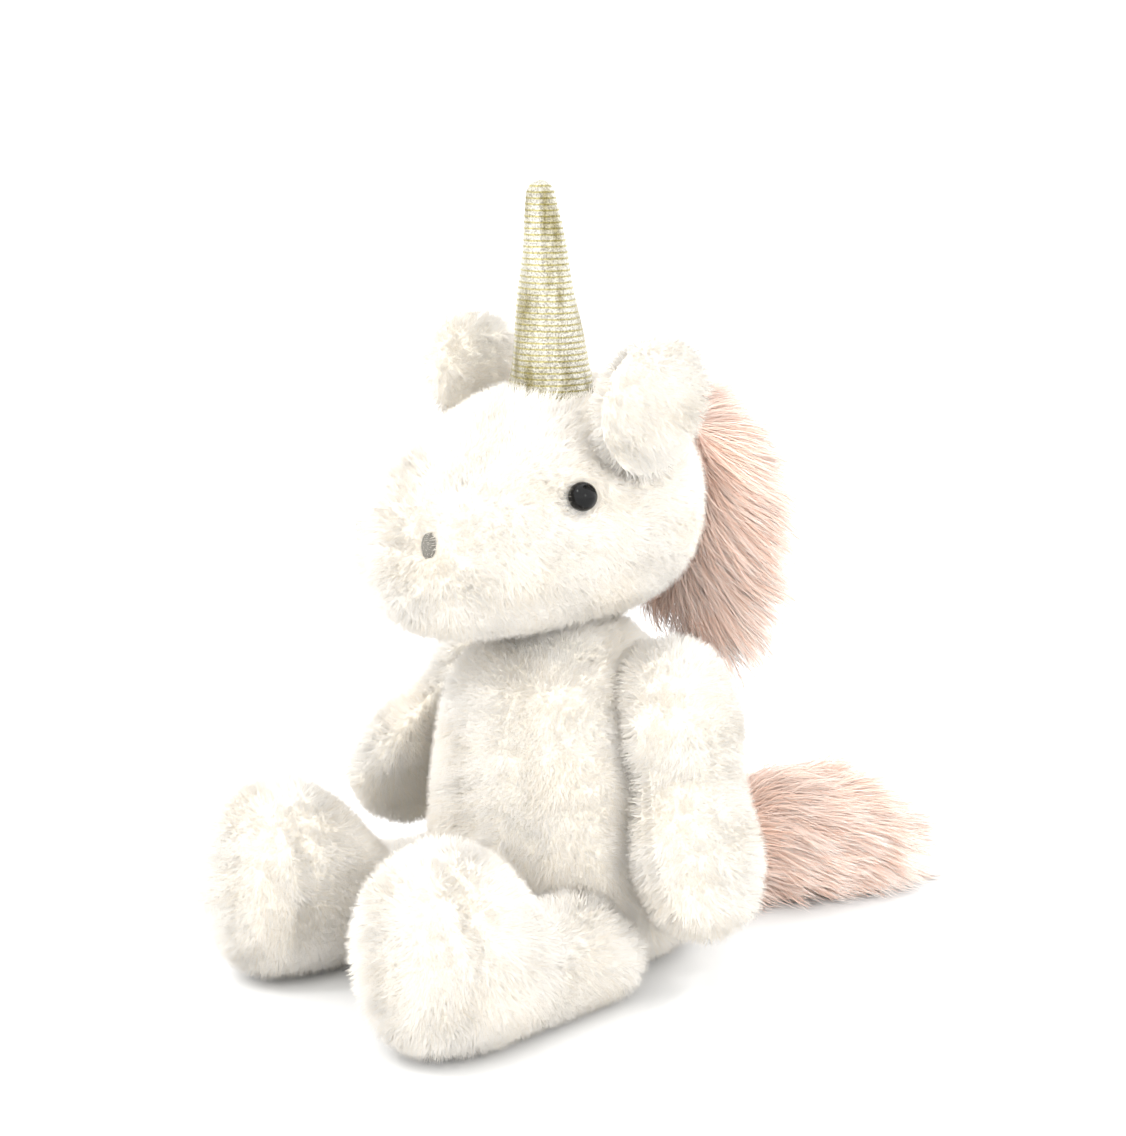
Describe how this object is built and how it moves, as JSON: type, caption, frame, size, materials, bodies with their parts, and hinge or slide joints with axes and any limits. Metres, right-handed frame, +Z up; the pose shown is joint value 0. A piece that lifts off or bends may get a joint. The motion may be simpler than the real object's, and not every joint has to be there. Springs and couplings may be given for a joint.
{
  "type": "plush unicorn",
  "caption": "Sitting plush unicorn soft toy with jointed head, arms, legs and tail, a metallic knit horn, and a long pink mane and tail.",
  "frame": {"origin": "on the floor under the middle of the seat", "axes": "+Z up, the unicorn faces -Y, its left side is +X"},
  "size_m": [0.1764, 0.284, 0.2743],
  "materials": {
    "white_plush": "long soft cream-white plush pile, matt",
    "pink_faux_fur": "long pale pink faux-fur pile, silky",
    "pink_backing": "woven backing tape, matt",
    "polyester_fibre": "loose fibre",
    "pellet_bag": "woven bag of small pellets",
    "sewing_thread": "twisted thread, matt",
    "gloss_black": "polished",
    "washer_plastic": "moulded",
    "grey_thread": "satin-stitch embroidery",
    "gold_knit": "metallic gold and silver knit, shiny"
  },
  "bodies": {
    "torso": {"torso_seat_panel": "white_plush", "torso_belly_panel": "white_plush", "torso_back_panel_left": "white_plush", "torso_back_panel_right": "white_plush", "torso_stuffing": "polyester_fibre", "seat_pellet_pouch": "pellet_bag"},
    "neck_seam": {"neck_stitching": "sewing_thread"},
    "head": {"head_gusset_panel": "white_plush", "head_side_panel_left": "white_plush", "head_side_panel_right": "white_plush", "head_stuffing": "polyester_fibre", "left_eye": "gloss_black", "left_eye_washer": "washer_plastic", "left_nostril_embroidery": "grey_thread", "right_eye": "gloss_black", "right_eye_washer": "washer_plastic", "right_nostril_embroidery": "grey_thread", "mane_pile": "pink_faux_fur", "mane_backing_tape": "pink_backing"},
    "horn": {"horn_cover": "gold_knit", "horn_stuffing": "polyester_fibre"},
    "left_ear": {"left_ear_outer_panel": "white_plush", "left_ear_inner_panel": "white_plush"},
    "right_ear": {"right_ear_outer_panel": "white_plush", "right_ear_inner_panel": "white_plush"},
    "left_shoulder_seam": {"left_shoulder_stitching": "sewing_thread"},
    "left_arm": {"left_arm_outer_panel": "white_plush", "left_arm_inner_panel": "white_plush", "left_arm_stuffing": "polyester_fibre"},
    "right_shoulder_seam": {"right_shoulder_stitching": "sewing_thread"},
    "right_arm": {"right_arm_outer_panel": "white_plush", "right_arm_inner_panel": "white_plush", "right_arm_stuffing": "polyester_fibre"},
    "left_hip_seam": {"left_hip_stitching": "sewing_thread"},
    "left_leg": {"left_leg_outer_panel": "white_plush", "left_leg_inner_panel": "white_plush", "left_foot_sole_panel": "white_plush", "left_leg_stuffing": "polyester_fibre"},
    "right_hip_seam": {"right_hip_stitching": "sewing_thread"},
    "right_leg": {"right_leg_outer_panel": "white_plush", "right_leg_inner_panel": "white_plush", "right_foot_sole_panel": "white_plush", "right_leg_stuffing": "polyester_fibre"},
    "tail_seam": {"tail_stitching": "sewing_thread"},
    "tail": {"tail_pile": "pink_faux_fur", "tail_core": "pink_backing"}
  },
  "joints": [
    {"name": "neck_turn", "type": "hinge", "parent": "torso", "child": "neck_seam", "pos_m": [0, -0.004, 0.104], "axis": [0, 0, 1], "range_deg": [-35, 35], "stiffness_Nm_per_rad": 0.6},
    {"name": "head_nod", "type": "hinge", "parent": "neck_seam", "child": "head", "pos_m": [0, -0.004, 0.104], "axis": [1, 0, 0], "range_deg": [-10, 10], "stiffness_Nm_per_rad": 1},
    {"name": "horn_lean", "type": "hinge", "parent": "head", "child": "horn", "pos_m": [0, -0.01172, 0.21497], "axis": [1, 0, 0], "range_deg": [-8, 8], "stiffness_Nm_per_rad": 0.2},
    {"name": "left_ear_flop", "type": "hinge", "parent": "head", "child": "left_ear", "pos_m": [0.03827, -0.008, 0.18875], "axis": [0, 1, 0], "range_deg": [-15, 4], "stiffness_Nm_per_rad": 0.08},
    {"name": "right_ear_flop", "type": "hinge", "parent": "head", "child": "right_ear", "pos_m": [-0.03827, -0.008, 0.18875], "axis": [0, 1, 0], "range_deg": [-12, 15], "stiffness_Nm_per_rad": 0.08},
    {"name": "left_arm_swing", "type": "hinge", "parent": "torso", "child": "left_shoulder_seam", "pos_m": [0.042, 0.006, 0.1], "axis": [1, 0, 0], "range_deg": [-90, 24], "stiffness_Nm_per_rad": 0.25},
    {"name": "left_arm_spread", "type": "hinge", "parent": "left_shoulder_seam", "child": "left_arm", "pos_m": [0.042, 0.006, 0.1], "axis": [0, 1, 0], "range_deg": [-65, 0], "stiffness_Nm_per_rad": 0.25},
    {"name": "right_arm_swing", "type": "hinge", "parent": "torso", "child": "right_shoulder_seam", "pos_m": [-0.042, 0.006, 0.1], "axis": [1, 0, 0], "range_deg": [-66, 48], "stiffness_Nm_per_rad": 0.25},
    {"name": "right_arm_spread", "type": "hinge", "parent": "right_shoulder_seam", "child": "right_arm", "pos_m": [-0.042, 0.006, 0.1], "axis": [0, 0.9135, -0.4067], "range_deg": [-9, 56], "stiffness_Nm_per_rad": 0.25},
    {"name": "left_leg_lift", "type": "hinge", "parent": "torso", "child": "left_hip_seam", "pos_m": [0.04, -0.036, 0.021], "axis": [1, 0, 0], "range_deg": [-10, 32], "stiffness_Nm_per_rad": 0.4},
    {"name": "left_leg_spread", "type": "hinge", "parent": "left_hip_seam", "child": "left_leg", "pos_m": [0.04, -0.036, 0.021], "axis": [0, 0, 1], "range_deg": [-4, 8], "stiffness_Nm_per_rad": 0.4},
    {"name": "right_leg_lift", "type": "hinge", "parent": "torso", "child": "right_hip_seam", "pos_m": [-0.04, -0.036, 0.021], "axis": [1, 0, 0], "range_deg": [-10, 32], "stiffness_Nm_per_rad": 0.4},
    {"name": "right_leg_spread", "type": "hinge", "parent": "right_hip_seam", "child": "right_leg", "pos_m": [-0.04, -0.036, 0.021], "axis": [0, 0, 1], "range_deg": [-8, 4], "stiffness_Nm_per_rad": 0.4},
    {"name": "tail_lift", "type": "hinge", "parent": "torso", "child": "tail_seam", "pos_m": [0, 0.05, 0.02], "axis": [1, 0, 0], "range_deg": [-12, 35], "stiffness_Nm_per_rad": 0.15},
    {"name": "tail_wag", "type": "hinge", "parent": "tail_seam", "child": "tail", "pos_m": [0, 0.05, 0.02], "axis": [0, 0, 1], "range_deg": [-32, 32], "stiffness_Nm_per_rad": 0.15}
  ]
}
